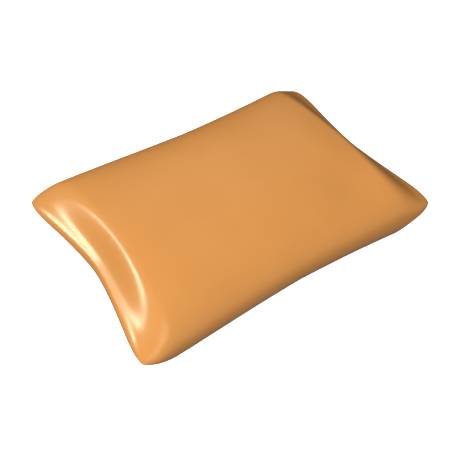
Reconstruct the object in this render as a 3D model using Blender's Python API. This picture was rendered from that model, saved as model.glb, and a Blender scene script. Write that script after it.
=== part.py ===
"""Face cradle cushion: a rectangular padded rest in a glossy coated-vinyl cover.

One sheet of vinyl wraps round both long sides and is sewn shut along the two short ends, which
taper to flared, padded lips. A zip in the back long side opens the cover. Inside lie a bag in
two halves, a wadding sleeve and two glued layers of foam. Two loop strips are sewn underneath.

Metres. The origin is under the middle of the cushion, on the surface that it rests on. +X runs
along the length, +Y to the side with the zip, +Z up. Left is -X and right is +X.
"""

import math
from collections import namedtuple

import bmesh
import bpy
from mathutils import Vector

# Driving dimensions of the padded body
LENGTH = 0.420              # from end to end, before the corner tips are trimmed
WAIST_WIDTH = 0.2666        # across the narrowest place
WAIST_OFFSET = 0.057        # how far right of the middle that place is, in half lengths
CORNER_LENGTH = 0.029       # length over which the sides turn in to each corner tip
CORNER_DEPTH = 0.0083       # how far they turn in
TIP_TRIM = 0.0071           # how much shorter that leaves the tips
CROWN_RISE = 0.0462         # crown above the plane through the end seams
BELLY_DROP = 0.056          # underside below that plane
FLAT_CUT = 0.004            # how much of the belly is pressed flat by the surface under it
LIP_HALF = 0.0111           # half the thickness of the padded roll along an end
LIP_ROUNDING = 0.0094       # length over which that roll rounds off
VINYL = 0.0012              # thickness of the cover
MOUTH = 0.0012              # half the opening between the lips, which the end seam fills

# Shape powers of the padded body
FLARE_POWER = 1.33          # how late the sides flare towards the ends
PULL_START = 0.57           # where the pull-in of an end begins, in half lengths
PULL_SHAPE = 1.50           # how straight the pulled-in end runs to its corners
SIDE_POWER = 2.66           # squareness of the waist section, sideways
CROWN_POWER = 2.32          # squareness of the waist section, upwards
SECTION_POWER = 3.6         # how late the section changes to the end's own squareness
CORNER_POWER = 2.34         # how late the sides turn in to a corner tip
TRIM_POWER = 9              # how close to its tip a corner is trimmed
DOME = 0.06                 # share of the crown's rise that is lost towards the ends

# The slope from an end up to the crown
FLAT_MIDDLE = 0.0046        # level run before it, on the centre line
SHOULDER_REACH = 0.0734      # length of the slow swell that lies under it
SHOULDER_SHARE = 0.86       # how much of the rise the slope takes
CLIMB_POWER = 0.926         # how early it is steepest
SLOPE_SPREAD = 1.29         # how late its length changes towards the sides
FLAT_SPREAD = 2.3           # how late the level run changes towards the sides

# What differs between the two ends, in metres and as powers
End = namedtuple("End", "width pull_in flat_side slope_middle slope_side side_power crown_power")
LEFT_END = End(0.2957, 0.0224, -0.0034, 0.0315, 0.0481, 2.46, 2.24)
RIGHT_END = End(0.2840, 0.0163, 0.0040, 0.0313, 0.0532, 2.75, 3.62)

# The straight wall behind the zip
BACK_WALL = 0.1312          # its distance from the centre line
BACK_STRAIGHT = 0.108       # it is straight up to this distance along the length
BACK_RELEASE = 0.075        # then it eases out to the free shape over this length

# Gaps and soft layers
GAP = 0.0003                # between pieces that touch
LOOP_BASE = 0.0010          # woven base of a loop strip
LOOP_PILE = 0.0012          # its pile
SEAM_PLANE = LOOP_PILE + LOOP_BASE + GAP + BELLY_DROP

# Zip
ZIP_PLANE = BACK_WALL - 0.0018      # middle of the tapes' thickness
TAPE_HALF = 0.0003
TAPE_INNER = 0.0009
TAPE_OUTER = 0.0112
TAPE_REACH = 0.114
COIL_INNER = 0.0006
COIL_OUTER = 0.0031
COIL_LOW = 0.0006                   # heights are above ZIP_PLANE, towards +Y
COIL_HIGH = 0.0024
COIL_REACH = 0.098
STOP_LENGTH = 0.0025
STOP_OVERHANG = 0.0002
WINDOW_HALF = 0.0052
WINDOW_REACH = 0.104
TOPSTITCH_HEIGHT = 0.0080
TOPSTITCH_REACH = 0.102
THREAD = 0.0005
BAR_TACK_WIDTH = 0.0016
BAR_TACK_REACH = 0.1055

# Slider and pull
SLIDER_LENGTH = 0.013
SLIDER_REST = COIL_REACH - SLIDER_LENGTH / 2    # closed, at the right-hand end
PLATE_HALF = 0.0046
PLATE_THICK = 0.0010
NECK_HALF = 0.0003
NECK_LENGTH = 0.004
BAIL_HALF_LENGTH = 0.0040
BAIL_THICK = 0.0012
BAIL_HALF_WIDTH = 0.0011
BAIL_ROOM = 0.0024
PULL_THICK = 0.0014
PULL_LENGTH = 0.024
PULL_EYE_HALF = 0.0015
PULL_EYE_LENGTH = 0.0062
PULL_NECK_HALF = 0.0027
PULL_HALF = 0.0035

# Loop strips under the cushion
LOOP_WIDTH = 0.050
LOOP_LENGTH = 0.150
LOOP_MARGIN = 0.003
LOOP_OFFSET = 0.090

# Resolution of the padded surfaces
STATIONS = 24             # along the body, not counting the extra ones on the lips
LIP_STATIONS = 4
AROUND = 32

Layer = namedtuple("Layer", "reach inset edge lip")
COVER_OUTSIDE = Layer(1.0, 0.0, MOUTH + VINYL, LIP_HALF)
COVER_INSIDE = Layer(1.0, VINYL, MOUTH, LIP_HALF - VINYL)
BAG_OUTSIDE = Layer(0.940, 0.0042, 0.0, 0.0060)
BAG_INSIDE = Layer(0.936, 0.0048, 0.0, 0.0054)
BAG_SEAM_INSIDE = Layer(0.932, 0.0060, 0.0, 0.0)
WADDING_OUTSIDE = Layer(0.860, 0.0072, 0.0050, 0.0080)
WADDING_INSIDE = Layer(0.860, 0.0112, 0.0030, 0.0050)
FOAM_OUTSIDE = Layer(0.845, 0.0126, 0.0020, 0.0035)
BAG_RIM = 0.0006            # half the gap between the bag's halves, where their seam lies

COLOURS = {
    "vinyl": ((0.78, 0.30, 0.07), 0.25, 0.0),
    "thread": ((0.72, 0.30, 0.09), 0.60, 0.0),
    "zip_tape": ((0.62, 0.27, 0.09), 0.80, 0.0),
    "zip_coil": ((0.66, 0.28, 0.09), 0.35, 0.0),
    "zip_metal": ((0.62, 0.62, 0.64), 0.25, 1.0),
    "bag_cloth": ((0.82, 0.80, 0.76), 0.85, 0.0),
    "wadding": ((0.90, 0.90, 0.88), 0.95, 0.0),
    "comfort_foam": ((0.86, 0.82, 0.66), 0.90, 0.0),
    "support_foam": ((0.72, 0.76, 0.80), 0.90, 0.0),
    "loop_tape": ((0.08, 0.07, 0.07), 0.90, 0.0),
}


def clear_scene():
    for existing in list(bpy.data.objects):
        bpy.data.objects.remove(existing, do_unlink=True)


def surface_material(node, look):
    """A Principled material of the node's own."""
    colour, roughness, metallic = COLOURS[look]
    material = bpy.data.materials.new(node)
    material.use_nodes = True
    shader = material.node_tree.nodes["Principled BSDF"]
    shader.inputs["Base Color"].default_value = (*colour, 1.0)
    shader.inputs["Roughness"].default_value = roughness
    shader.inputs["Metallic"].default_value = metallic
    material.diffuse_color = (*colour, 1.0)
    return material


def place(name, shape, look, origin=(0, 0, 0)):
    """Turns a bmesh into a named object, with its origin where it is asked for."""
    bmesh.ops.remove_doubles(shape, verts=shape.verts, dist=1e-7)
    bmesh.ops.recalc_face_normals(shape, faces=shape.faces)
    if shape.calc_volume(signed=True) < 0:
        bmesh.ops.reverse_faces(shape, faces=shape.faces)
    bmesh.ops.translate(shape, verts=shape.verts, vec=-Vector(origin))
    mesh = bpy.data.meshes.new(name)
    shape.to_mesh(mesh)
    shape.free()
    mesh.shade_smooth()
    mesh.set_sharp_from_angle(angle=math.radians(40))
    piece = bpy.data.objects.new(name, mesh)
    piece.location = origin
    piece.data.materials.append(surface_material(name, look))
    bpy.context.scene.collection.objects.link(piece)
    return piece


def boolean(piece, tool, operation):
    """Adds or cuts a tool, which stays in the scene as a wire guide."""
    tool.hide_render = True
    tool.display_type = "WIRE"
    step = piece.modifiers.new(tool.name, "BOOLEAN")
    step.operation = operation
    step.object = tool


# Padded surface

def smooth_step(value):
    value = min(1.0, max(0.0, value))
    return value * value * (3 - 2 * value)


def end_of(station):
    return RIGHT_END if station > 0 else LEFT_END


def half_width(station):
    """Half width of the cover at a station from -1 to 1."""
    reach = abs(station)
    offset = math.copysign(WAIST_OFFSET, station)
    from_waist = abs(reach - offset) / (1 - offset)
    flare = (end_of(station).width - WAIST_WIDTH) / 2 * from_waist ** FLARE_POWER
    past = max(0.0, 1 - (1 - reach) * LENGTH / 2 / CORNER_LENGTH)
    return WAIST_WIDTH / 2 + flare - CORNER_DEPTH * past ** CORNER_POWER


def mouth_distance(end, across):
    """How far from the middle an end's rim lies: across is 0 on the centre line and 1 at a tip."""
    return LENGTH / 2 - end.pull_in * (1 - across ** PULL_SHAPE) - TIP_TRIM * across ** TRIM_POWER


def swell(end, from_lip, across):
    """Fullness, from 0 on an end to 1 on the crown."""
    level = FLAT_MIDDLE + (end.flat_side - FLAT_MIDDLE) * across ** FLAT_SPREAD
    slope = end.slope_middle + (end.slope_side - end.slope_middle) * across ** SLOPE_SPREAD
    climb = min(1.0, max(0.0, (from_lip - level) / slope))
    steep = smooth_step(climb ** CLIMB_POWER)
    return SHOULDER_SHARE * steep + (1 - SHOULDER_SHARE) * smooth_step(from_lip / SHOULDER_REACH)


def body_point(layer, station, angle):
    """A point of one layer: station -1 to 1 along the length, angle round the section from +Y."""
    reach = abs(station)
    end = end_of(station)
    late = reach ** SECTION_POWER
    side_power = SIDE_POWER + (end.side_power - SIDE_POWER) * late
    crown_power = CROWN_POWER + (end.crown_power - CROWN_POWER) * late
    cosine = math.cos(angle)
    side = math.copysign(abs(cosine) ** (2 / side_power), cosine)
    across = abs(side)
    upright = abs(math.sin(angle)) ** (2 / crown_power)
    bow = end.pull_in * (1 - across ** PULL_SHAPE)
    drawn_in = max(0.0, (reach - PULL_START) / (1 - PULL_START)) ** 2
    pulled = drawn_in * (LENGTH / 2 - mouth_distance(end, across))
    distance = layer.reach * (reach * LENGTH / 2 - pulled) - layer.inset * reach ** 4
    x = math.copysign(distance, station)
    y = side * (half_width(station * layer.reach) - layer.inset)
    walled = min(y, BACK_WALL - layer.inset)
    y = walled + (y - walled) * smooth_step((abs(x) - BACK_STRAIGHT) / BACK_RELEASE)
    from_lip = max(0.0, (1 - reach) * LENGTH / 2 - (1 - drawn_in) * bow)
    before_roll = max(0.0, 1 - from_lip / LIP_ROUNDING)
    roll = layer.edge + (layer.lip - layer.edge) * math.sqrt(1 - before_roll ** 2)
    fullness = swell(end, from_lip, across)
    if math.sin(angle) >= 0:
        crown = CROWN_RISE * (1 - DOME * reach ** 2)
        z = upright * (roll + (crown - layer.inset - layer.lip) * fullness)
    else:
        belly = BELLY_DROP + FLAT_CUT
        z = -upright * (roll + (belly - layer.inset - layer.lip) * fullness)
        z = max(z, -(BELLY_DROP - layer.inset))
    return Vector((x, y, SEAM_PLANE + z))


def stations():
    """Stations along the length, closer together near the ends and on the rounding of the lips."""
    last = STATIONS - 1
    rounding = LIP_ROUNDING / (LENGTH / 2)
    along = [(1 - 1.5 * rounding) * math.sin(math.pi * (row / last - 0.5)) for row in range(STATIONS)]
    turns = [math.pi / 2 * step / LIP_STATIONS for step in range(LIP_STATIONS)]
    lips = [1 - rounding * (1 - math.cos(turn)) for turn in turns]
    return [-lip for lip in lips] + along + lips[::-1]


def full_grid(layer):
    """Closed rows of points right round the body."""
    angles = [2 * math.pi * step / AROUND for step in range(AROUND)]
    return [[body_point(layer, station, angle) for angle in angles] for station in stations()]


def half_grid(layer, upper, rim, flat=False):
    """Rows over the upper or lower half, with their open edges at the seam plane, plus or minus rim."""
    sign = 1 if upper else -1
    angles = [sign * math.pi * step / (AROUND // 2) for step in range(AROUND // 2 + 1)]
    rows = []
    for station in stations():
        row = []
        for angle in angles:
            point = body_point(layer, station, angle)
            if flat or abs(math.sin(angle)) < 1e-9:
                point.z = SEAM_PLANE
            point.z += sign * rim
            row.append(point)
        rows.append(row)
    return rows


def sheet(name, outside, inside, look, around):
    """The solid between two grids of points; around says that each row closes on itself."""
    shape = bmesh.new()
    outer = [[shape.verts.new(point) for point in row] for row in outside]
    inner = [[shape.verts.new(point) for point in row] for row in inside]
    columns = len(outer[0])
    last = len(outer) - 1
    strips = range(columns) if around else range(columns - 1)
    for left in strips:
        right = (left + 1) % columns
        for row in range(last):
            for skin in (outer, inner):
                near, far = skin[row], skin[row + 1]
                shape.faces.new((near[left], near[right], far[right], far[left]))
        for row in (0, last):
            shape.faces.new((outer[row][left], outer[row][right], inner[row][right], inner[row][left]))
    if not around:
        for column in (0, columns - 1):
            for row in range(last):
                above, below = outer[row], outer[row + 1]
                within, beyond = inner[row + 1], inner[row]
                shape.faces.new((above[column], below[column], within[column], beyond[column]))
    return place(name, shape, look)


def loft(name, sections, look, ring=False, origin=(0, 0, 0)):
    """A solid through closed sections, capped at its ends or closed into a ring."""
    shape = bmesh.new()
    loops = [[shape.verts.new(point) for point in section] for section in sections]
    corners = len(loops[0])
    pairs = list(zip(loops, loops[1:]))
    if ring:
        pairs.append((loops[-1], loops[0]))
    else:
        shape.faces.new(loops[0])
        shape.faces.new(loops[-1])
    for near, far in pairs:
        for corner in range(corners):
            after = (corner + 1) % corners
            shape.faces.new((near[corner], near[after], far[after], far[corner]))
    return place(name, shape, look, origin)


def box(name, low, high, look, origin=(0, 0, 0)):
    """A block between two opposite corners."""
    (x0, y0, z0), (x1, y1, z1) = low, high
    section = [(y0, z0), (y1, z0), (y1, z1), (y0, z1)]
    ends = [[Vector((x, y, z)) for y, z in section] for x in (x0, x1)]
    return loft(name, ends, look, origin=origin)


# Cover

def make_cover():
    cover = sheet("cover_wrap", full_grid(COVER_OUTSIDE), full_grid(COVER_INSIDE), "vinyl", True)
    window_low = (-WINDOW_REACH, BACK_WALL - 3 * VINYL, SEAM_PLANE - WINDOW_HALF)
    window_high = (WINDOW_REACH, BACK_WALL + 3 * VINYL, SEAM_PLANE + WINDOW_HALF)
    boolean(cover, box("zip_window_cutter", window_low, window_high, "vinyl"), "DIFFERENCE")


def make_end_seam(side, name):
    """The sewn strip that fills the mouth between the lips of one end."""
    half = MOUTH - 0.0007
    inner, outer = 0.0036, 0.0008
    end_half_width = half_width(side)
    sections = []
    steps = 24
    for step in range(steps + 1):
        across = 0.93 * (2 * step / steps - 1)
        mouth = mouth_distance(end_of(side), abs(across))
        y = across * end_half_width
        corners = [(mouth - inner, -half), (mouth - outer, -half), (mouth - outer, half), (mouth - inner, half)]
        sections.append([Vector((side * x, y, SEAM_PLANE + z)) for x, z in corners])
    loft(name, sections, "thread")


# Zip

def zip_block(name, x_range, z_range, heights, look):
    """A straight piece of the zip: heights are above the tapes, and z is from the seam plane."""
    low = (x_range[0], ZIP_PLANE + heights[0], SEAM_PLANE + z_range[0])
    high = (x_range[1], ZIP_PLANE + heights[1], SEAM_PLANE + z_range[1])
    return box(name, low, high, look)


def make_zip_half(sign, name):
    """One tape, its coil, its top stop and the row of topstitching beside it."""
    def mirrored(inner, outer):
        return sorted((sign * inner, sign * outer))

    tape = mirrored(TAPE_INNER, TAPE_OUTER)
    coil = mirrored(COIL_INNER, COIL_OUTER)
    stop = mirrored(COIL_INNER, COIL_OUTER + STOP_OVERHANG)
    stitch = mirrored(TOPSTITCH_HEIGHT, TOPSTITCH_HEIGHT + THREAD)
    surface = BACK_WALL + GAP - ZIP_PLANE
    stop_start = COIL_REACH + 0.0005
    stop_run = (stop_start, stop_start + STOP_LENGTH)
    stop_heights = (COIL_LOW, COIL_HIGH + STOP_OVERHANG)
    zip_block(f"zip_tape_{name}", (-TAPE_REACH, TAPE_REACH), tape, (-TAPE_HALF, TAPE_HALF), "zip_tape")
    zip_block(f"zip_coil_{name}", (-COIL_REACH, COIL_REACH), coil, (COIL_LOW, COIL_HIGH), "zip_coil")
    zip_block(f"zip_top_stop_{name}", stop_run, stop, stop_heights, "zip_metal")
    zip_block(f"zip_topstitch_{name}", (-TOPSTITCH_REACH, TOPSTITCH_REACH), stitch,
              (surface, surface + THREAD), "thread")


def make_zip_ends():
    """The bottom stop across both coils, and a bar tack at each end of the window."""
    half = COIL_OUTER + STOP_OVERHANG
    stop_start = -COIL_REACH - 0.0005
    zip_block("zip_bottom_stop", (stop_start - STOP_LENGTH, stop_start), (-half, half),
              (COIL_LOW, COIL_HIGH + STOP_OVERHANG), "zip_metal")
    surface = BACK_WALL + GAP - ZIP_PLANE
    for sign, name in ((-1, "left"), (1, "right")):
        run = sorted((sign * BAR_TACK_REACH, sign * (BAR_TACK_REACH + BAR_TACK_WIDTH)))
        zip_block(f"zip_bar_tack_{name}", run, (-WINDOW_HALF, WINDOW_HALF),
                  (surface, surface + THREAD), "thread")


def make_slider():
    """Slider body: a top plate with two flanges, a neck, a bottom plate and a bail for the pull."""
    origin = Vector((SLIDER_REST, ZIP_PLANE, SEAM_PLANE))
    half = SLIDER_LENGTH / 2
    plate_low = COIL_HIGH + GAP
    plate_high = plate_low + PLATE_THICK
    flange_inner = COIL_OUTER + GAP
    flange_low = TAPE_HALF + GAP
    channel = [
        (plate_high, -PLATE_HALF), (plate_high, PLATE_HALF),
        (flange_low, PLATE_HALF), (flange_low, flange_inner),
        (plate_low, flange_inner), (plate_low, -flange_inner),
        (flange_low, -flange_inner), (flange_low, -PLATE_HALF),
    ]
    ends = [[origin + Vector((x, y, z)) for y, z in channel] for x in (-half, half)]
    slider = loft("zip_slider", ends, "zip_metal", origin=origin)

    bottom_high = -(TAPE_HALF + GAP)
    bottom_low = bottom_high - PLATE_THICK
    bottom = box("slider_bottom_plate", origin + Vector((-half, bottom_low, -PLATE_HALF)),
                 origin + Vector((half, bottom_high, PLATE_HALF)), "zip_metal")
    neck_start = half - NECK_LENGTH
    neck = box("slider_neck", origin + Vector((neck_start, bottom_low + PLATE_THICK / 2, -NECK_HALF)),
               origin + Vector((half - 0.0005, plate_high - PLATE_THICK / 2, NECK_HALF)), "zip_metal")
    outer = BAIL_HALF_LENGTH + BAIL_THICK
    root = plate_high - PLATE_THICK / 2
    arch_top = plate_high + BAIL_ROOM
    arch = [
        (-outer, root), (-BAIL_HALF_LENGTH, root), (-BAIL_HALF_LENGTH, arch_top),
        (BAIL_HALF_LENGTH, arch_top), (BAIL_HALF_LENGTH, root), (outer, root),
        (outer, arch_top + BAIL_THICK), (-outer, arch_top + BAIL_THICK),
    ]
    faces = [[origin + Vector((x, y, z)) for x, y in arch] for z in (-BAIL_HALF_WIDTH, BAIL_HALF_WIDTH)]
    bail = loft("slider_bail", faces, "zip_metal")
    for added in (neck, bottom, bail):
        boolean(slider, added, "UNION")


def make_pull():
    """Pull tab with an eye round the bail. It lies along the closed zip at rest."""
    pivot_height = COIL_HIGH + GAP + PLATE_THICK + BAIL_ROOM / 2
    origin = Vector((SLIDER_REST, ZIP_PLANE + pivot_height, SEAM_PLANE))
    half = PULL_THICK / 2
    shoulder = -PULL_EYE_LENGTH - 0.002
    tip_centre = -PULL_LENGTH + PULL_HALF
    outline = [(half, -PULL_NECK_HALF), (half, PULL_NECK_HALF), (shoulder, PULL_HALF)]
    for step in range(9):
        turn = math.pi / 2 + math.pi * step / 8
        outline.append((tip_centre + PULL_HALF * math.cos(turn), PULL_HALF * math.sin(turn)))
    outline.append((shoulder, -PULL_HALF))
    faces = [[origin + Vector((x, y, z)) for x, z in outline] for y in (-half, half)]
    pull = loft("zip_pull", faces, "zip_metal", origin=origin)
    eye = box("pull_eye_cutter", origin + Vector((-PULL_EYE_LENGTH, -0.002, -PULL_EYE_HALF)),
              origin + Vector((-half, 0.002, PULL_EYE_HALF)), "zip_metal")
    boolean(pull, eye, "DIFFERENCE")


# Filling

def make_bag():
    """The inner bag: an upper and a lower half, and the overlocked seam between them."""
    for upper, name in ((True, "inner_bag_top"), (False, "inner_bag_bottom")):
        outside = half_grid(BAG_OUTSIDE, upper, BAG_RIM)
        inside = half_grid(BAG_INSIDE, upper, BAG_RIM)
        sheet(name, outside, inside, "bag_cloth", False)
    route = [(station, 0.0) for station in stations()]
    end_angles = [math.pi * step / (AROUND // 2) for step in range(1, AROUND // 2)]
    route += [(1.0, angle) for angle in end_angles]
    route += [(station, math.pi) for station in reversed(stations())]
    route += [(-1.0, angle) for angle in reversed(end_angles)]
    half = BAG_RIM - GAP
    sections = []
    for station, angle in route:
        outside = body_point(BAG_OUTSIDE, station, angle)
        inside = body_point(BAG_SEAM_INSIDE, station, angle)
        corners = [(outside, -half), (outside, half), (inside, half), (inside, -half)]
        sections.append([Vector((point.x, point.y, SEAM_PLANE + z)) for point, z in corners])
    loft("inner_bag_seam", sections, "thread", ring=True)


def make_filling():
    """The open-ended wadding sleeve round the two layers of foam."""
    sheet("wadding_wrap", full_grid(WADDING_OUTSIDE), full_grid(WADDING_INSIDE), "wadding", True)
    for upper, name, look in ((True, "foam_comfort_layer", "comfort_foam"),
                              (False, "foam_support_layer", "support_foam")):
        outside = half_grid(FOAM_OUTSIDE, upper, GAP / 2)
        joint = half_grid(FOAM_OUTSIDE, upper, GAP / 2, flat=True)
        sheet(name, outside, joint, look, False)


# Loop strips

def rectangle(centre_x, half_x, half_y, z):
    corners = [(-1, -1), (1, -1), (1, 1), (-1, 1)]
    return [Vector((centre_x + half_x * i, half_y * j, z)) for i, j in corners]


def make_loop_strip(centre_x, name):
    """A loop strip, pile down, and the thread that runs round its margin."""
    half_x, half_y = LOOP_WIDTH / 2, LOOP_LENGTH / 2
    pile_x, pile_y = half_x - LOOP_MARGIN, half_y - LOOP_MARGIN
    top = LOOP_PILE + LOOP_BASE
    sections = [
        rectangle(centre_x, pile_x, pile_y, 0.0),
        rectangle(centre_x, pile_x, pile_y, LOOP_PILE),
        rectangle(centre_x, half_x, half_y, LOOP_PILE),
        rectangle(centre_x, half_x, half_y, top),
    ]
    loft(f"loop_strip_{name}", sections, "loop_tape")
    middle = LOOP_MARGIN / 2
    thread_high = LOOP_PILE - GAP
    thread_low = thread_high - THREAD
    rings = [
        rectangle(centre_x, half_x - middle + THREAD / 2, half_y - middle + THREAD / 2, thread_low),
        rectangle(centre_x, half_x - middle + THREAD / 2, half_y - middle + THREAD / 2, thread_high),
        rectangle(centre_x, half_x - middle - THREAD / 2, half_y - middle - THREAD / 2, thread_high),
        rectangle(centre_x, half_x - middle - THREAD / 2, half_y - middle - THREAD / 2, thread_low),
    ]
    loft(f"loop_strip_stitching_{name}", rings, "thread", ring=True)


clear_scene()
make_cover()
for end_side, end_name in ((-1, "end_seam_left"), (1, "end_seam_right")):
    make_end_seam(end_side, end_name)
for half_sign, half_name in ((1, "upper"), (-1, "lower")):
    make_zip_half(half_sign, half_name)
make_zip_ends()
make_slider()
make_pull()
make_bag()
make_filling()
for strip_x, strip_name in ((-LOOP_OFFSET, "left"), (LOOP_OFFSET, "right")):
    make_loop_strip(strip_x, strip_name)
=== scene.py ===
import math
from collections import namedtuple

import bmesh
import bpy
import numpy as np
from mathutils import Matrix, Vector


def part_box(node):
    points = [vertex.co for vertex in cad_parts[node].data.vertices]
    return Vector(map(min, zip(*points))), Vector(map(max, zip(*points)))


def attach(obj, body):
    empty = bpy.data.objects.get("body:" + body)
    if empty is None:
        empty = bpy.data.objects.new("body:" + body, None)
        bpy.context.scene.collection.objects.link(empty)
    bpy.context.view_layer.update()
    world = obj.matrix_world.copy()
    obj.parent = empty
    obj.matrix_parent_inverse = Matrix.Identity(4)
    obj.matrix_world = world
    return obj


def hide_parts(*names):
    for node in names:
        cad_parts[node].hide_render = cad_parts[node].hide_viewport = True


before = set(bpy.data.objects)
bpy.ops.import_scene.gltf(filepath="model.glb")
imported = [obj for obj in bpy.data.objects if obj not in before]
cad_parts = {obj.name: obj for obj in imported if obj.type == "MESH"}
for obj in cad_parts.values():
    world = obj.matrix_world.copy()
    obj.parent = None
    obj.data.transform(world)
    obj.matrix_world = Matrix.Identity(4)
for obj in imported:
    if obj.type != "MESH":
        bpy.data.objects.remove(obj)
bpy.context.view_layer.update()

# Places taken from the frame, in metres
seam_low, seam_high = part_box("end_seam_left")
coil_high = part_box("zip_coil_upper")[1]
tape_low, tape_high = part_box("zip_tape_upper")
GAP = 0.0003                # between pieces that lie against each other
SEAM_PLANE = (seam_low.z + seam_high.z) / 2
BACK_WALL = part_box("zip_topstitch_upper")[0].y - GAP
ZIP_PLANE = (tape_low.y + tape_high.y) / 2
BELLY_DROP = SEAM_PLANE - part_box("cover_wrap")[0].z

# Padded shape: lengths in metres, and powers that set how round each curve is
HALF_LENGTH = 0.210         # before the corner tips are trimmed
CROWN_RISE = 0.0462
VINYL_THICKNESS = 0.0012
WAIST_HALF = 0.1333
WAIST_OFFSET = 0.057        # how far right of the middle the waist lies, in half lengths
FLARE_POWER = 1.33
CORNER_LENGTH = 0.029
CORNER_DEPTH = 0.0083
CORNER_POWER = 2.34
TIP_TRIM = 0.0071
TRIM_POWER = 9
DOME = 0.06                 # how much lower the crown is at the ends, as a share
FLAT_CUT = 0.004            # how much of the belly the surface under it presses flat
LIP_HALF = 0.0111           # half thickness of the pinched end
LIP_ROUNDING = 0.0094
PULL_START = 0.57           # where the ends start to be drawn in, in half lengths
PULL_SHAPE = 1.50
SIDE_POWER = 2.66
CROWN_POWER = 2.32
SECTION_POWER = 3.6
FLAT_MIDDLE = 0.0046        # low strip inside the lip, before the padding climbs
SHOULDER_REACH = 0.0734
SHOULDER_SHARE = 0.86       # share of the height that the steep climb gives
CLIMB_POWER = 0.926
SLOPE_SPREAD = 1.29
FLAT_SPREAD = 2.3
DIP_X = 0.116               # a soft dip in the padding behind the front right corner
DIP_Y = -0.088
DIP_SPREAD = 0.040
DIP_DEPTH = 0.0055

End = namedtuple("End", "half_width pull_in flat_side slope_middle slope_side side_power crown_power")
LEFT_END = End(0.14785, 0.0224, -0.0034, 0.0315, 0.0481, 2.46, 2.24)
RIGHT_END = End(0.1420, 0.0163, 0.0040, 0.0313, 0.0532, 2.75, 3.62)

# A layer's share of the length, its depth under the cover, and its half thickness
# at the very end and just inside it
Layer = namedtuple("Layer", "reach inset edge lip")
COVER = Layer(1.0, 0.0, 0.0005, LIP_HALF)
BAG_OUTSIDE = Layer(0.940, 0.0042, 0.0, 0.0060)
BAG_INSIDE = Layer(0.936, 0.0048, 0.0, 0.0054)
WADDING_OUTSIDE = Layer(0.860, 0.0072, 0.0050, 0.0080)
WADDING_INSIDE = Layer(0.860, 0.0112, 0.0030, 0.0050)
FOAM_OUTSIDE = Layer(0.845, 0.0126, 0.0020, 0.0035)

# Straight wall round the zip
BACK_STRAIGHT = 0.108       # half length of the straight part
BACK_RELEASE = 0.075        # the length over which it eases out
BACK_EASE = 0.004           # width of the soft turn into the wall
BELLY_EASE = 0.006          # width of the soft turn into the flat belly
WINDOW_HALF = 0.0052
WINDOW_REACH = coil_high.x + 0.006

# Sewing
STITCH_PITCH = 0.0032
STITCH_LENGTH = 0.0025
STITCH_RADIUS = 0.0003
SEAM_PITCH = 0.0034         # of the end seams and the bag's overlock
SEAM_STITCH = 0.0024


# Materials

def noise(nodes, links, coordinates, scale, detail=4.0, roughness=0.5):
    texture = nodes.new("ShaderNodeTexNoise")
    texture.inputs["Scale"].default_value = scale
    texture.inputs["Detail"].default_value = detail
    texture.inputs["Roughness"].default_value = roughness
    links.new(coordinates, texture.inputs["Vector"])
    return texture.outputs["Fac"]


def remap(nodes, links, value, low, high, start=0.3, end=0.7):
    step = nodes.new("ShaderNodeMapRange")
    step.inputs["From Min"].default_value = start
    step.inputs["From Max"].default_value = end
    step.inputs["To Min"].default_value = low
    step.inputs["To Max"].default_value = high
    links.new(value, step.inputs["Value"])
    return step.outputs["Result"]


def blank(name, **sockets):
    """A Principled material with object coordinates ready to use."""
    material = bpy.data.materials.new("look_" + name)
    material["slot"] = name
    material.use_nodes = True
    nodes, links = material.node_tree.nodes, material.node_tree.links
    shader = nodes["Principled BSDF"]
    for socket, value in sockets.items():
        shader.inputs[socket.replace("_", " ")].default_value = value
    coordinates = nodes.new("ShaderNodeTexCoord").outputs["Object"]
    return material, nodes, links, shader, coordinates


def tint(nodes, links, factor, colour_a, colour_b, shader):
    mix = nodes.new("ShaderNodeMix")
    mix.data_type = "RGBA"
    mix.inputs["A"].default_value = (*colour_a, 1.0)
    mix.inputs["B"].default_value = (*colour_b, 1.0)
    links.new(factor, mix.inputs["Factor"])
    links.new(mix.outputs["Result"], shader.inputs["Base Color"])


def add_bump(nodes, links, height, shader, distance, strength=1.0):
    bump = nodes.new("ShaderNodeBump")
    bump.inputs["Strength"].default_value = strength
    bump.inputs["Distance"].default_value = distance
    links.new(height, bump.inputs["Height"])
    links.new(bump.outputs["Normal"], shader.inputs["Normal"])


def vinyl_material():
    """Glossy coated vinyl with a very fine grain."""
    material, nodes, links, shader, place = blank("vinyl", Specular_Tint=(1.0, 0.93, 0.66, 1.0))
    broad = noise(nodes, links, place, 14.0, 3.0)
    patches = remap(nodes, links, broad, 0.0, 1.0)
    tint(nodes, links, patches, (0.632, 0.274, 0.074), (0.605, 0.258, 0.068), shader)
    fine = noise(nodes, links, place, 260.0, 2.0)
    links.new(remap(nodes, links, fine, 0.205, 0.245), shader.inputs["Roughness"])
    grain = noise(nodes, links, place, 1500.0, 2.0)
    add_bump(nodes, links, grain, shader, 0.00003, 0.5)
    return material


def thread_material():
    material, nodes, links, shader, place = blank("thread", Sheen_Weight=0.2, Roughness=0.55)
    twist = nodes.new("ShaderNodeTexWave")
    twist.wave_type = "BANDS"
    twist.bands_direction = "DIAGONAL"
    twist.inputs["Scale"].default_value = 900.0
    links.new(place, twist.inputs["Vector"])
    tint(nodes, links, twist.outputs["Fac"], (0.52, 0.20, 0.055), (0.66, 0.27, 0.08), shader)
    add_bump(nodes, links, twist.outputs["Fac"], shader, 0.00008)
    return material


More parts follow.
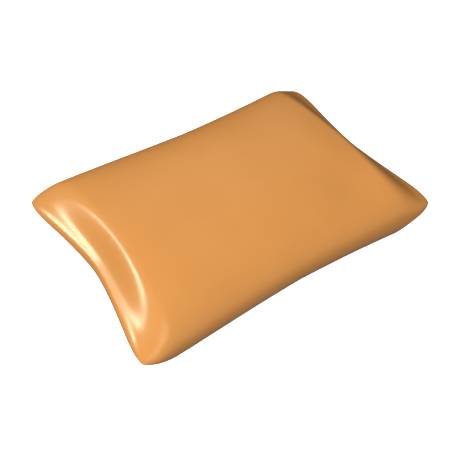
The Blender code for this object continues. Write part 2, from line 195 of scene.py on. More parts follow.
def weave_material(name, dark, light, scale, depth, roughness=0.85):
    """Plain weave: two crossed waves."""
    material, nodes, links, shader, place = blank(name, Sheen_Weight=0.15)
    waves = []
    for direction in ("X", "Z"):
        wave = nodes.new("ShaderNodeTexWave")
        wave.bands_direction = direction
        wave.inputs["Scale"].default_value = scale
        wave.inputs["Distortion"].default_value = 0.4
        links.new(place, wave.inputs["Vector"])
        waves.append(wave.outputs["Fac"])
    cross = nodes.new("ShaderNodeMath")
    cross.operation = "MULTIPLY"
    links.new(waves[0], cross.inputs[0])
    links.new(waves[1], cross.inputs[1])
    tint(nodes, links, cross.outputs["Value"], dark, light, shader)
    fuzz = noise(nodes, links, place, 700.0)
    links.new(remap(nodes, links, fuzz, roughness - 0.08, roughness + 0.06), shader.inputs["Roughness"])
    add_bump(nodes, links, cross.outputs["Value"], shader, depth)
    return material


def coil_material():
    material, nodes, links, shader, place = blank("zip_coil", Specular_IOR_Level=0.6)
    streak = noise(nodes, links, place, 500.0)
    tint(nodes, links, streak, (0.50, 0.19, 0.05), (0.62, 0.25, 0.07), shader)
    links.new(remap(nodes, links, streak, 0.30, 0.42), shader.inputs["Roughness"])
    return material


def metal_material():
    """Satin nickel plate on die-cast zip metal, rubbed duller in patches."""
    material, nodes, links, shader, place = blank(
        "zip_metal", Metallic=0.55, Coat_Weight=0.3, Coat_Roughness=0.2)
    wear = noise(nodes, links, place, 420.0, 5.0)
    patches = remap(nodes, links, wear, 0.0, 1.0)
    tint(nodes, links, patches, (0.66, 0.65, 0.62), (0.82, 0.82, 0.81), shader)
    links.new(remap(nodes, links, wear, 0.26, 0.42), shader.inputs["Roughness"])
    add_bump(nodes, links, noise(nodes, links, place, 2400.0), shader, 0.00001)
    return material


def fluffy_material(name, dark, light, scale, depth):
    """Foam cells or wadding fibres."""
    material, nodes, links, shader, place = blank(name, Roughness=0.95, Sheen_Weight=0.2)
    cells = noise(nodes, links, place, scale, 6.0, 0.65)
    tint(nodes, links, remap(nodes, links, cells, 0.0, 1.0), dark, light, shader)
    add_bump(nodes, links, cells, shader, depth)
    return material


def loop_material():
    material, nodes, links, shader, place = blank("loop_tape", Roughness=0.9, Sheen_Weight=0.3)
    tufts = noise(nodes, links, place, 900.0, 3.0)
    patches = remap(nodes, links, tufts, 0.0, 1.0)
    tint(nodes, links, patches, (0.012, 0.011, 0.011), (0.045, 0.042, 0.04), shader)
    add_bump(nodes, links, tufts, shader, 0.0003)
    return material


VINYL = vinyl_material()
THREAD = thread_material()
TAPE = weave_material("zip_tape", (0.40, 0.15, 0.04), (0.60, 0.25, 0.07), 700.0, 0.0002)
COIL = coil_material()
METAL = metal_material()
BAG = weave_material("bag_cloth", (0.66, 0.64, 0.60), (0.82, 0.80, 0.76), 420.0, 0.0002)
WADDING = fluffy_material("wadding", (0.80, 0.80, 0.78), (0.93, 0.93, 0.92), 180.0, 0.0012)
COMFORT = fluffy_material("comfort_foam", (0.72, 0.66, 0.48), (0.88, 0.83, 0.66), 420.0, 0.0005)
SUPPORT = fluffy_material("support_foam", (0.55, 0.60, 0.66), (0.74, 0.78, 0.82), 420.0, 0.0006)
LOOP = loop_material()


# Pieces

def add_piece(name, mesh, material, body, replaced=()):
    """Links a mesh as a piece that rides on a CAD body and stands for the replaced nodes."""
    piece = bpy.data.objects.new(name, mesh)
    bpy.context.scene.collection.objects.link(piece)
    mesh.materials.append(material)
    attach(piece, body)
    if replaced:
        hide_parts(*replaced)
    return piece


def grid_faces(rows, columns, around, start=0):
    """Faces between the points of a grid, whose rows close into rings when around is true."""
    faces = []
    strips = columns if around else columns - 1
    for row in range(rows - 1):
        for left in range(strips):
            right = (left + 1) % columns
            a, b = start + row * columns + left, start + row * columns + right
            faces.append((a, b, b + columns, a + columns))
    return faces


# Padded surface

def smooth_step(value):
    value = np.clip(value, 0, 1)
    return value * value * (3 - 2 * value)


def smooth_min(first, second, width):
    blend = np.clip(0.5 + 0.5 * (second - first) / width, 0, 1)
    return second * (1 - blend) + first * blend - width * blend * (1 - blend)


def signed_power(value, power):
    return np.sign(value) * np.abs(value) ** power


def body_points(layer, station, angle):
    """Grid of points of a layer: stations -1 to 1 along the length, angles round the section from +Y."""
    station, angle = np.meshgrid(station, angle, indexing="ij")
    reach = np.abs(station)
    right = station > 0

    def end(field):
        return np.where(right, getattr(RIGHT_END, field), getattr(LEFT_END, field))

    late = reach ** SECTION_POWER
    side_power = SIDE_POWER + (end("side_power") - SIDE_POWER) * late
    crown_power = CROWN_POWER + (end("crown_power") - CROWN_POWER) * late
    side = signed_power(np.cos(angle), 2 / side_power)
    across = np.abs(side)
    upright = np.abs(np.sin(angle)) ** (2 / crown_power)

    bow = end("pull_in") * (1 - across ** PULL_SHAPE)
    drawn_in = np.clip((reach - PULL_START) / (1 - PULL_START), 0, 1) ** 2
    pulled = drawn_in * (bow + TIP_TRIM * across ** TRIM_POWER)
    distance = layer.reach * (reach * HALF_LENGTH - pulled) - layer.inset * reach ** 4
    x = np.sign(station) * distance

    along = reach * layer.reach
    offset = np.where(right, WAIST_OFFSET, -WAIST_OFFSET)
    flare = (end("half_width") - WAIST_HALF) * (np.abs(along - offset) / (1 - offset)) ** FLARE_POWER
    past = np.clip(1 - (1 - along) * HALF_LENGTH / CORNER_LENGTH, 0, 1)
    half_width = WAIST_HALF + flare - CORNER_DEPTH * past ** CORNER_POWER - layer.inset
    y = side * half_width
    walled = smooth_min(y, BACK_WALL - layer.inset, BACK_EASE)
    y = walled + (y - walled) * smooth_step((np.abs(x) - BACK_STRAIGHT) / BACK_RELEASE)

    from_lip = np.maximum((1 - reach) * HALF_LENGTH - (1 - drawn_in) * bow, 0)
    level = FLAT_MIDDLE + (end("flat_side") - FLAT_MIDDLE) * across ** FLAT_SPREAD
    slope = end("slope_middle") + (end("slope_side") - end("slope_middle")) * across ** SLOPE_SPREAD
    steep = smooth_step(np.clip((from_lip - level) / slope, 0, 1) ** CLIMB_POWER)
    full = SHOULDER_SHARE * steep + (1 - SHOULDER_SHARE) * smooth_step(from_lip / SHOULDER_REACH)
    before_roll = np.clip(1 - from_lip / LIP_ROUNDING, 0, 1)
    roll = layer.edge + (layer.lip - layer.edge) * np.sqrt(1 - before_roll ** 2)
    rise = CROWN_RISE * (1 - DOME * reach ** 2)
    from_dip = np.hypot(x - DIP_X, y - DIP_Y) / DIP_SPREAD
    dip = DIP_DEPTH * np.exp(-from_dip ** 2)
    crown = upright * (roll + (rise - layer.inset - layer.lip - dip) * full)
    belly = upright * (roll + (BELLY_DROP + FLAT_CUT - layer.inset - layer.lip) * full)
    belly = smooth_min(belly, BELLY_DROP - layer.inset, BELLY_EASE)
    z = SEAM_PLANE + np.where(np.sin(angle) >= 0, crown, -belly)
    return np.stack([x, y, z], axis=-1)


def stations(count, lip_count):
    """Stations along the length, crowded on the rounding of the lips and then even."""
    rounding = LIP_ROUNDING / HALF_LENGTH
    lips = 1 - rounding * (1 - np.cos(np.linspace(0, math.pi / 2, lip_count, endpoint=False)))
    along = np.linspace(1 - rounding, 0, count)
    positive = np.concatenate([lips, along])
    return np.concatenate([-positive, positive[-2::-1]])


def turn_angles(count):
    return np.linspace(0, 2 * math.pi, count, endpoint=False)


def bake(piece):
    """Turns a piece's modifiers into its mesh."""
    bpy.context.view_layer.update()
    evaluated = piece.evaluated_get(bpy.context.evaluated_depsgraph_get())
    mesh = bpy.data.meshes.new_from_object(evaluated)
    piece.modifiers.clear()
    piece.data = mesh


# Cover

def cut_window(shape):
    """Opens the back wall for the zip."""
    cuts = [
        ((0, 0, SEAM_PLANE + WINDOW_HALF), (0, 0, 1)),
        ((0, 0, SEAM_PLANE - WINDOW_HALF), (0, 0, 1)),
        ((WINDOW_REACH, 0, 0), (1, 0, 0)),
        ((-WINDOW_REACH, 0, 0), (1, 0, 0)),
    ]
    for point, normal in cuts:
        near = [face for face in shape.faces if is_by_window(face.calc_center_median(), 0.01)]
        edges = {edge for face in near for edge in face.edges}
        corners = {vert for face in near for vert in face.verts}
        geometry = near + list(edges) + list(corners)
        bmesh.ops.bisect_plane(shape, geom=geometry, plane_co=point, plane_no=normal)
    inside = [face for face in shape.faces if is_by_window(face.calc_center_median(), 0.0)]
    bmesh.ops.delete(shape, geom=inside, context="FACES")


def is_by_window(point, margin):
    behind = point.y > BACK_WALL - 0.01
    level = abs(point.z - SEAM_PLANE) < WINDOW_HALF + margin
    return behind and level and abs(point.x) < WINDOW_REACH + margin


def add_cover():
    """The outer vinyl: one dense skin from end to end, open at the zip's window."""
    points = body_points(COVER, stations(72, 14), turn_angles(256))
    rows, columns = points.shape[:2]
    mesh = bpy.data.meshes.new("cover")
    mesh.from_pydata([tuple(point) for point in points.reshape(-1, 3)], [], grid_faces(rows, columns, True))
    mesh.validate()
    shape = bmesh.new()
    shape.from_mesh(mesh)
    bmesh.ops.remove_doubles(shape, verts=shape.verts, dist=1e-6)
    bmesh.ops.recalc_face_normals(shape, faces=shape.faces)
    cut_window(shape)
    shape.to_mesh(mesh)
    shape.free()
    mesh.shade_smooth()
    cover = add_piece("cover", mesh, VINYL, "cushion", ("cover_wrap",))
    thickness = cover.modifiers.new("thickness", "SOLIDIFY")
    thickness.thickness = VINYL_THICKNESS
    thickness.offset = -1
    bake(cover)


# Tubes, threads and small solids

def sweep(path, radius, sides=8, closed=False, reference=(0, 0, 1), flatten=1.0):
    """Vertices and faces of a tube along a path; flatten scales it along the reference."""
    path = np.asarray(path, dtype=float)
    reference = np.asarray(reference, dtype=float)
    if closed:
        tangent = np.roll(path, -1, axis=0) - np.roll(path, 1, axis=0)
    else:
        tangent = np.gradient(path, axis=0)
    tangent /= np.linalg.norm(tangent, axis=1, keepdims=True)
    across = np.cross(tangent, reference)
    across /= np.linalg.norm(across, axis=1, keepdims=True)
    over = np.cross(across, tangent)
    turns = turn_angles(sides)[None, :, None]
    ring = np.cos(turns) * across[:, None] + flatten * np.sin(turns) * over[:, None]
    points = (path[:, None] + radius * ring).reshape(-1, 3)
    count = len(path)
    faces = grid_faces(count, sides, True)
    if closed:
        last = (count - 1) * sides
        faces += [(last + i, last + (i + 1) % sides, (i + 1) % sides, i) for i in range(sides)]
    else:
        faces.append(tuple(range(sides)))
        faces.append(tuple(range((count - 1) * sides, count * sides)))
    return points, faces


def join_parts(parts):
    """Joins (points, faces) pairs into one."""
    points, faces, start = [], [], 0
    for part_points, part_faces in parts:
        points.append(np.asarray(part_points))
        faces += [tuple(start + index for index in face) for face in part_faces]
        start += len(part_points)
    return np.concatenate(points), faces


def plain_mesh(name, part):
    """A smooth-shaded mesh of a (points, faces) pair, with its faces turned outwards."""
    points, faces = part
    mesh = bpy.data.meshes.new(name)
    mesh.from_pydata([tuple(point) for point in points], [], faces)
    shape = bmesh.new()
    shape.from_mesh(mesh)
    bmesh.ops.recalc_face_normals(shape, faces=shape.faces)
    shape.to_mesh(mesh)
    shape.free()
    mesh.shade_smooth()
    return mesh


def stitch(centre, along, out, length, radius):
    """One stitch: a short thread whose ends dip into the fabric."""
    steps = np.linspace(-1, 1, 7)
    centre, along, out = np.asarray(centre), np.asarray(along), np.asarray(out)
    path = centre + steps[:, None] * along * length / 2 - (steps ** 4)[:, None] * out * radius * 1.6
    return sweep(path, radius, 6, reference=out)


def stitch_row(start, stop, out):
    """Stitches along a straight line."""
    start, stop = np.asarray(start, dtype=float), np.asarray(stop, dtype=float)
    run = np.linalg.norm(stop - start)
    along = (stop - start) / run
    count = max(1, int(run / STITCH_PITCH))
    places = (np.arange(count) + 0.5) * run / count
    return [stitch(start + along * place, along, out, STITCH_LENGTH, STITCH_RADIUS) for place in places]


def path_steps(path):
    """Distance along a path to each of its points."""
    return np.concatenate([[0], np.cumsum(np.linalg.norm(np.diff(path, axis=0), axis=1))])


def place_on(path, steps, place):
    """The point a given distance along a path."""
    return np.array([np.interp(place, steps, path[:, axis]) for axis in range(3)])


def rounded_box(low, high, bevel, segments=3):
    """A box with rounded edges, as a bmesh."""
    shape = bmesh.new()
    bmesh.ops.create_cube(shape, size=1.0)
    low, high = Vector(low), Vector(high)
    size, middle = high - low, (low + high) / 2
    for vert in shape.verts:
        vert.co = Vector((vert.co.x * size.x, vert.co.y * size.y, vert.co.z * size.z)) + middle
    bmesh.ops.bevel(shape, geom=shape.edges[:], offset=bevel, segments=segments, affect="EDGES", profile=0.6)
    return shape


def is_level(edge):
    return abs(edge.verts[0].co.y - edge.verts[1].co.y) < 1e-7


def extruded(outline, low, high, bevel):
    """An outline in x and z pushed from low to high along y, with its rims rounded, as a bmesh."""
    shape = bmesh.new()
    front = [shape.verts.new((x, low, z)) for x, z in outline]
    back = [shape.verts.new((x, high, z)) for x, z in outline]
    count = len(outline)
    shape.faces.new(front)
    shape.faces.new(back)
    for index in range(count):
        following = (index + 1) % count
        shape.faces.new((front[index], front[following], back[following], back[index]))
    bmesh.ops.recalc_face_normals(shape, faces=shape.faces)
    rims = [edge for edge in shape.edges if is_level(edge)]
    bmesh.ops.bevel(shape, geom=rims, offset=bevel, segments=2, affect="EDGES", profile=0.5)
    return shape


def merged_mesh(name, shapes):
    """One mesh from several bmeshes."""
    whole = bmesh.new()
    for shape in shapes:
        part = bpy.data.meshes.new("part")
        shape.to_mesh(part)
        shape.free()
        whole.from_mesh(part)
        bpy.data.meshes.remove(part)
    bmesh.ops.recalc_face_normals(whole, faces=whole.faces)
    mesh = bpy.data.meshes.new(name)
    whole.to_mesh(mesh)
    whole.free()
    mesh.shade_smooth()
    mesh.set_sharp_from_angle(angle=math.radians(40))
    return mesh


def rounded_outline(corners, radius, steps=5):
    """Rounds the corners of a convex outline of (a, b) pairs."""
    outline = []
    count = len(corners)
    for index, corner in enumerate(corners):
        here = Vector(corner)
        before = (Vector(corners[index - 1]) - here).normalized()
        after = (Vector(corners[(index + 1) % count]) - here).normalized()
        start, stop = here + before * radius, here + after * radius
        for step in range(steps):
            share = step / (steps - 1)
            mixed = start.lerp(here, share).lerp(here.lerp(stop, share), share)
            outline.append((mixed.x, mixed.y))
    return outline


def ring_plate(outer, inner, low, high, bevel):
    """A plate with a hole: both outlines have the same number of points."""
    shape = bmesh.new()
    rings = []
    for outline in (outer, inner):
        rings.append([[shape.verts.new((a, height, b)) for a, b in outline] for height in (low, high)])
    count = len(outer)
    (outer_low, outer_high), (inner_low, inner_high) = rings
    for index in range(count):
        following = (index + 1) % count
        for a, b in ((outer_low, outer_high), (inner_high, inner_low),
                     (outer_high, inner_high), (inner_low, outer_low)):
            shape.faces.new((a[index], a[following], b[following], b[index]))
    bmesh.ops.recalc_face_normals(shape, faces=shape.faces)
    rims = [edge for edge in shape.edges if is_level(edge) and edge.calc_face_angle(0) > 1]
    bmesh.ops.bevel(shape, geom=rims, offset=bevel, segments=2, affect="EDGES", profile=0.5)
    return shape


def stadium(centre_x, half_x, half_z, count=40):
    """A rounded outline that is half_x and half_z wide, round a place on the zip's line."""
    outline = []
    for step in range(count):
        swing = 2 * math.pi * step / count
        a = signed_power(math.cos(swing), 0.55) * half_x
        b = signed_power(math.sin(swing), 0.55) * half_z
        outline.append((centre_x + float(a), SEAM_PLANE + float(b)))
    return outline


# Zip

def add_window_hem():
    """The folded edge of the vinyl round the zip's window."""
    corner = 0.0012
    y = BACK_WALL - VINYL_THICKNESS / 2
    path = []
    for turn, (i, k) in enumerate(((1, 1), (-1, 1), (-1, -1), (1, -1))):
        for step in range(5):
            swing = math.radians(90 * turn + 90 * step / 4)
            x = i * (WINDOW_REACH - corner) + corner * math.cos(swing)
            z = k * (WINDOW_HALF - corner) + corner * math.sin(swing)
            path.append((x, y, SEAM_PLANE + z))
    part = sweep(path, 0.00075, 10, closed=True, reference=(0, 1, 0))
    add_piece("window_hem", plain_mesh("window_hem", part), VINYL, "cushion")


def add_coil(name, node):
    """Nylon coil: one wire wound along the tape's edge."""
    low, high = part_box(node)
    wire = 0.00032
    turns_per_metre = 1 / 0.0013
    points_per_turn = 10
    steps = np.linspace(0, 1, int((high.x - low.x) * turns_per_metre * points_per_turn))
    swing = steps * (high.x - low.x) * turns_per_metre * 2 * math.pi
    x = low.x + wire + steps * (high.x - low.x - 2 * wire)
    y = (low.y + high.y) / 2 + ((high.y - low.y) / 2 - wire) * np.sin(swing)
    z = (low.z + high.z) / 2 + ((high.z - low.z) / 2 - wire) * np.cos(swing)
    part = sweep(np.stack([x, y, z], axis=1), wire, 6, reference=(1, 0, 0))
    add_piece(name, plain_mesh(name, part), COIL, "cushion", (node,))


def add_stops():
    """Metal clips pressed round the coils' ends."""
    for piece_name in ("top_stop_upper", "top_stop_lower", "bottom_stop"):
        node = "zip_" + piece_name
        low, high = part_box(node)
        body = rounded_box(low, high, 0.0006, 4)
        ridge_low = Vector((low.x + 0.0007, high.y - 0.0008, low.z + 0.0005))
        ridge_high = Vector((high.x - 0.0007, high.y + 0.0001, high.z - 0.0005))
        ridge = rounded_box(ridge_low, ridge_high, 0.0003)
        add_piece(piece_name, merged_mesh(piece_name, [body, ridge]), METAL, "cushion", (node,))


def add_slider():
    """Zip slider: two shaped plates, flanges, a neck and an arched bail."""
    plate = 0.0010
    bury = 0.0005           # how far joined parts run into each other
    neck_half = 0.0003
    slider_low, slider_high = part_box("zip_slider")
    x = (slider_low.x + slider_high.x) / 2
    half = (slider_high.x - slider_low.x) / 2
    wide = (slider_high.z - slider_low.z) / 2
    corners = [(-half, 0.76 * wide), (-0.4 * half, wide), (0.55 * half, wide), (half, 0.5 * wide)]
    corners += [(a, -b) for a, b in reversed(corners)]
    outline = [(x + a, SEAM_PLANE + b) for a, b in rounded_outline(corners, 0.0011)]
    top_low = coil_high.y + GAP
    top_high = top_low + plate
    bottom_high = 2 * ZIP_PLANE - tape_high.y - GAP
    shapes = [extruded(outline, top_low, top_high, bevel=0.0003)]
    shapes.append(extruded(outline, bottom_high - plate, bottom_high, bevel=0.0003))
    for sign in (-1, 1):
        inner, outer = sorted((sign * (coil_high.z - SEAM_PLANE + GAP), sign * wide))
        low = (x - 0.45 * half, tape_high.y + GAP, SEAM_PLANE + inner)
        high = (x + 0.5 * half, top_low + bury, SEAM_PLANE + outer)
        shapes.append(rounded_box(low, high, 0.00025))
    neck_low = (x + half - 0.004, bottom_high - bury, SEAM_PLANE - neck_half)
    neck_high = (x + half - 0.0005, top_low + bury, SEAM_PLANE + neck_half)
    shapes.append(rounded_box(neck_low, neck_high, 0.0001))
    bail_half = 0.0006
    bail_foot = top_high - 0.0004
    bail_span = 0.0046
    arch = []
    for step in range(25):
        swing = math.pi * step / 24
        rise = (slider_high.y - bail_half - bail_foot) * math.sin(swing) ** 0.45
        arch.append((x - bail_span * math.cos(swing), bail_foot + rise, SEAM_PLANE))
    points, faces = sweep(arch, bail_half, 10, reference=(0, 0, 1), flatten=1.75)
    bail = bmesh.new()
    verts = [bail.verts.new(tuple(point)) for point in points]
    for face in faces:
        bail.faces.new([verts[index] for index in face])
    shapes.append(bail)
    add_piece("slider", merged_mesh("slider", shapes), METAL, "zip_slider_body", ("zip_slider",))


def add_pull():
    """Pull tab: an eye round the bail and a leaf with a raised rim and grip ridges."""
    low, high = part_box("zip_pull")
    thick_low, thick_high = low.y + 0.00015, high.y - 0.00015
    eye_start = high.x - 0.0083
    neck = ring_plate(stadium((eye_start + high.x) / 2, (high.x - eye_start) / 2, 0.0027),
                      stadium(high.x - 0.0038, 0.0024, 0.0015), thick_low, thick_high, 0.0002)
    leaf_end = eye_start + 0.0016
    leaf_middle, leaf_half = (low.x + leaf_end) / 2, (leaf_end - low.x) / 2
    wide = (high.z - low.z) / 2
    edge = stadium(leaf_middle, leaf_half, wide)
    leaf = extruded(edge, thick_low + 0.0002, thick_high - 0.0002, bevel=0.0002)
    rim_width = 0.0008
    rim_inside = stadium(leaf_middle, leaf_half - rim_width, wide - rim_width)
    rim = ring_plate(edge, rim_inside, thick_low - 0.0001, thick_high + 0.0001, 0.00015)
    shapes = [neck, leaf, rim]
    ridge_half, ridge_width = 0.0018, 0.0007
    for step in range(4):
        x = low.x + 0.0032 + 0.0016 * step
        ridge_low = (x, thick_low, SEAM_PLANE - ridge_half)
        ridge_high = (x + ridge_width, thick_high, SEAM_PLANE + ridge_half)
        shapes.append(rounded_box(ridge_low, ridge_high, 0.00025))
    add_piece("pull", merged_mesh("pull", shapes), METAL, "zip_pull_body", ("zip_pull",))


def add_topstitching():
    """The two sewn rows beside the zip and the zigzag tack at each end."""
    out = (0, 1, 0)
    y = BACK_WALL + STITCH_RADIUS
    for name in ("topstitch_upper", "topstitch_lower"):
        node = "zip_" + name
        low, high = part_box(node)
        z = (low.z + high.z) / 2
        row = stitch_row((low.x, y, z), (high.x, y, z), out)
        add_piece(name, plain_mesh(name, join_parts(row)), THREAD, "cushion", (node,))
    for name in ("bar_tack_left", "bar_tack_right"):
        node = "zip_" + name
        low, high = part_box(node)
        middle = (low.x + high.x) / 2
        count = 26
        zigzag = []
        for step in range(count):
            z = low.z + (high.z - low.z) * (step + 0.5) / count
            slant = 0.25 if step % 2 else -0.25
            along = Vector((1, 0, slant)).normalized()
            zigzag.append(stitch((middle, y, z), tuple(along), out, high.x - low.x, 0.00024))
        add_piece(name, plain_mesh(name, join_parts(zigzag)), THREAD, "cushion", (node,))


# End seams

def add_end_seam(sign, node, name):
    """The joined edges between an end's lips, with the thread that holds them."""
    end = RIGHT_END if sign > 0 else LEFT_END
    across = np.linspace(-0.965, 0.965, 160)
    trim = TIP_TRIM * np.abs(across) ** TRIM_POWER
    mouth = HALF_LENGTH - end.pull_in * (1 - np.abs(across) ** PULL_SHAPE) - trim
    depth = 0.0016
    edge_half = 0.0011
    y = across * (end.half_width - CORNER_DEPTH)
    path = np.stack([sign * (mouth - depth), y, np.full_like(y, SEAM_PLANE)], axis=1)
    parts = [sweep(path, edge_half, 10, reference=(0, 0, 1), flatten=0.4)]
    steps = path_steps(path)
    margin = 0.003
    for place in np.arange(margin, steps[-1] - margin, SEAM_PITCH):
        centre = place_on(path, steps, place)
        centre[0] += sign * edge_half
        parts.append(stitch(centre, (0, 1, 0), (sign, 0, 0), SEAM_STITCH, 0.00026))
    add_piece(name, plain_mesh(name, join_parts(parts)), THREAD, "cushion", (node,))


# Filling

def shell(name, outside, inside, around):
    """The solid between two grids of points, as a mesh."""
    rows, columns = outside.shape[:2]
    count = rows * columns
    faces = grid_faces(rows, columns, around) + grid_faces(rows, columns, around, count)
    strips = columns if around else columns - 1
    for row in (0, rows - 1):
        for left in range(strips):
            a, b = row * columns + left, row * columns + (left + 1) % columns
            faces.append((a, b, b + count, a + count))
    if not around:
        for column in (0, columns - 1):
            for row in range(rows - 1):
                a, b = row * columns + column, (row + 1) * columns + column
                faces.append((a, b, b + count, a + count))
    points = np.concatenate([outside.reshape(-1, 3), inside.reshape(-1, 3)])
    return plain_mesh(name, (points, faces))


def half_points(layer, sign, rim, flat=False):
    """The upper or lower half of a layer, its open edges rim away from the seam plane."""
    points = body_points(layer, stations(40, 8), sign * np.linspace(0, math.pi, 73))
    if flat:
        points[..., 2] = SEAM_PLANE
    points[:, (0, -1), 2] = SEAM_PLANE
    points[..., 2] += sign * rim
    return points


def add_bag():
    """The inner bag's two halves and the overlocked seam round it."""
    rim = 0.0006
    for sign, node, name in ((1, "inner_bag_top", "bag_top"), (-1, "inner_bag_bottom", "bag_bottom")):
        mesh = shell(name, half_points(BAG_OUTSIDE, sign, rim), half_points(BAG_INSIDE, sign, rim), False)
        add_piece(name, mesh, BAG, "cushion", (node,))
    along = stations(60, 6)
    ends = np.linspace(0, math.pi, 60)[1:-1]
    path = np.concatenate([
        body_points(BAG_OUTSIDE, along, [0.0])[:, 0],
        body_points(BAG_OUTSIDE, [1.0], ends)[0],
        body_points(BAG_OUTSIDE, along[::-1], [math.pi])[:, 0],
        body_points(BAG_OUTSIDE, [-1.0], ends[::-1])[0],
    ])
    path[:, 2] = SEAM_PLANE
    towards = path - path.mean(axis=0)
    path -= 0.0010 * towards / np.linalg.norm(towards, axis=1, keepdims=True)
    keep = np.linalg.norm(np.roll(path, -1, axis=0) - path, axis=1) > 1e-5
    path = path[keep]
    parts = [sweep(path, 0.0009, 8, closed=True, reference=(0, 0, 1), flatten=0.3)]
    steps = path_steps(path)
    margin = 0.002
    for place in np.arange(margin, steps[-1] - margin, SEAM_PITCH):
        here = place_on(path, steps, place)
        there = place_on(path, steps, place + 0.0016)
        along_path = (there - here) / np.linalg.norm(there - here)
        outward = np.cross(along_path, (0, 0, 1))
        parts.append(stitch(here, along_path, -outward, SEAM_STITCH, 0.00022))
    mesh = plain_mesh("bag_overlock", join_parts(parts))
    add_piece("bag_overlock", mesh, THREAD, "cushion", ("inner_bag_seam",))


def add_filling():
    """The wadding sleeve and the two glued foam layers in it."""
    along, around = stations(40, 8), turn_angles(144)
    wadding = shell("wadding_sleeve", body_points(WADDING_OUTSIDE, along, around),
                    body_points(WADDING_INSIDE, along, around), True)
    add_piece("wadding_sleeve", wadding, WADDING, "cushion", ("wadding_wrap",))
    for sign, node, name, material in ((1, "foam_comfort_layer", "comfort_layer", COMFORT),
                                       (-1, "foam_support_layer", "support_layer", SUPPORT)):
        mesh = shell(name, half_points(FOAM_OUTSIDE, sign, GAP / 2),
                     half_points(FOAM_OUTSIDE, sign, GAP / 2, flat=True), False)
        add_piece(name, mesh, material, "cushion", (node,))


# Loop strips

def add_loop_strip(node, stitching, name):
    """A woven base, a pile of small loops under it, and the thread round its margin."""
    low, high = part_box(node)
    margin, pile = 0.003, 0.0012
    root = pile + 0.0002     # the loops start a little inside the base
    base = rounded_box((low.x, low.y, pile), (high.x, high.y, high.z), 0.0003, 2)
    add_piece(f"{name}_base", merged_mesh(f"{name}_base", [base]), LOOP, "cushion", (node,))

    scatter = np.random.default_rng(7)
    step = 0.0009
    xs = np.arange(low.x + margin, high.x - margin, step)
    ys = np.arange(low.y + margin, high.y - margin, step)
    x, y = np.meshgrid(xs, ys, indexing="ij")
    x = x + scatter.uniform(-0.25, 0.25, x.shape) * step
    y = y + scatter.uniform(-0.25, 0.25, y.shape) * step
    tuft = scatter.uniform(0.0, 1.0, x.shape) ** 0.7
    z = root - tuft * pile
    edge = np.zeros(x.shape, dtype=bool)
    edge[(0, -1), :] = True
    edge[:, (0, -1)] = True
    z[edge] = root
    points = np.stack([x, y, z], axis=-1)
    mesh = plain_mesh(f"{name}_pile", (points.reshape(-1, 3), grid_faces(*x.shape, False)))
    add_piece(f"{name}_pile", mesh, LOOP, "cushion")

    z = pile - 0.0003
    inset = margin / 2
    corners = [(low.x + inset, low.y + inset), (high.x - inset, low.y + inset),
               (high.x - inset, high.y - inset), (low.x + inset, high.y - inset)]
    rows = []
    for index, corner in enumerate(corners):
        following = corners[(index + 1) % 4]
        rows += stitch_row((*corner, z), (*following, z), (0, 0, -1))
    mesh = plain_mesh(f"{name}_stitching", join_parts(rows))
    add_piece(f"{name}_stitching", mesh, THREAD, "cushion", (stitching,))


def dress_frame():
    """Better materials for the CAD nodes that stay."""
    for node in ("zip_tape_upper", "zip_tape_lower"):
        frame_object = bpy.data.objects[node]
        for slot in frame_object.material_slots:
            slot.material = TAPE


add_cover()
add_window_hem()
add_coil("coil_upper", "zip_coil_upper")
add_coil("coil_lower", "zip_coil_lower")
add_stops()
add_slider()
add_pull()
add_topstitching()
add_end_seam(-1, "end_seam_left", "seam_left")
add_end_seam(1, "end_seam_right", "seam_right")
add_bag()
add_filling()
add_loop_strip("loop_strip_left", "loop_strip_stitching_left", "strip_left")
add_loop_strip("loop_strip_right", "loop_strip_stitching_right", "strip_right")
dress_frame()


# Stage: floor, lights and camera

def direction(azimuth, elevation):
    """Unit vector from the cushion towards a viewer; azimuth 0 is in front, -Y."""
    a, e = math.radians(azimuth), math.radians(elevation)
    return Vector((math.sin(a) * math.cos(e), -math.cos(a) * math.cos(e), math.sin(e)))


def add_floor():
    """A pale floor that curves up into a backdrop all round. Only the camera sees it."""
    sides = 96
    turns = turn_angles(sides)
    flat, bend, top = 3.0, 3.0, 9.0
    profile = [(0.001, 0.0), (flat, 0.0)]
    for lean in np.linspace(0.1, math.pi / 2, 12):
        profile.append((flat + bend * math.sin(lean), bend * (1 - math.cos(lean))))
    profile.append((flat + bend, top))
    points = [(r * math.cos(t), r * math.sin(t), z) for r, z in profile for t in turns]
    mesh = bpy.data.meshes.new("floor")
    mesh.from_pydata(points, [], grid_faces(len(profile), sides, True))
    mesh.shade_smooth()
    floor = bpy.data.objects.new("floor", mesh)
    bpy.context.scene.collection.objects.link(floor)
    finish = blank("floor", Roughness=0.9, Specular_IOR_Level=0.1, Base_Color=(0.93, 0.93, 0.93, 1),
                   Emission_Color=(1, 1, 1, 1), Emission_Strength=0.85)
    mesh.materials.append(finish[0])
    floor.visible_diffuse = False
    floor.visible_glossy = False
    floor.visible_shadow = False


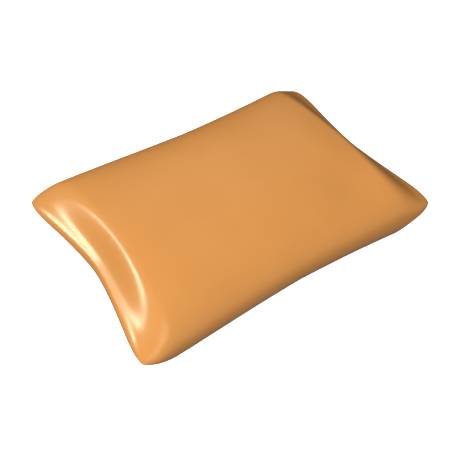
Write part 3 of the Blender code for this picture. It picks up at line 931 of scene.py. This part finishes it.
def add_area_light(name, azimuth, elevation, distance, size, power, target, shows_in_gloss=True):
    """A round soft light that points at the target."""
    light = bpy.data.lights.new(name, "AREA")
    light.shape = "DISK"
    light.size = size
    light.energy = power
    lamp = bpy.data.objects.new(name, light)
    back = direction(azimuth, elevation)
    lamp.location = target + back * distance
    lamp.rotation_euler = back.to_track_quat("Z", "Y").to_euler()
    lamp.visible_glossy = shows_in_gloss
    bpy.context.scene.collection.objects.link(lamp)


def add_world():
    """Dark surroundings with a faint light that rises from below, as from a pale table."""
    world = bpy.data.worlds.new("studio")
    bpy.context.scene.world = world
    world.use_nodes = True
    nodes, links = world.node_tree.nodes, world.node_tree.links
    background = nodes["Background"]
    split = nodes.new("ShaderNodeSeparateXYZ")
    links.new(nodes.new("ShaderNodeTexCoord").outputs["Generated"], split.inputs["Vector"])
    fade = remap(nodes, links, split.outputs["Z"], 0.0, 0.145, -0.2, -0.9)
    links.new(fade, background.inputs["Strength"])
    background.inputs["Color"].default_value = (1, 1, 1, 1)


def add_camera():
    """Camera at the photograph's angle; gives back the point that it looks at."""
    lens_pixels = 728.6
    frame_pixels = 458
    distance = 0.8677
    target = Vector((-0.0254, -0.0330, SEAM_PLANE))
    data = bpy.data.cameras.new("camera")
    data.sensor_width = 36
    data.lens = lens_pixels / frame_pixels * data.sensor_width
    camera = bpy.data.objects.new("camera", data)
    back = direction(-33.92, 47.47)
    camera.location = target + back * distance
    camera.rotation_mode = "QUATERNION"
    camera.rotation_quaternion = back.to_track_quat("Z", "Y")
    bpy.context.scene.collection.objects.link(camera)
    bpy.context.scene.camera = camera
    return target


target = add_camera()
add_floor()
add_world()
add_area_light("key_light", -125, 21, 1.6, 0.26, 4.6, target)
add_area_light("front_softbox", -34, 50, 1.8, 1.2, 36.4, target, shows_in_gloss=False)
add_area_light("left_softbox", -125, 25, 1.6, 1.0, 10.0, target, shows_in_gloss=False)
add_area_light("back_softbox", 150, 35, 1.6, 1.0, 8.0, target, shows_in_gloss=False)
add_area_light("right_softbox", 20, 20, 1.6, 1.0, 3.6, target, shows_in_gloss=False)
bpy.context.scene.view_settings.view_transform = "Standard"
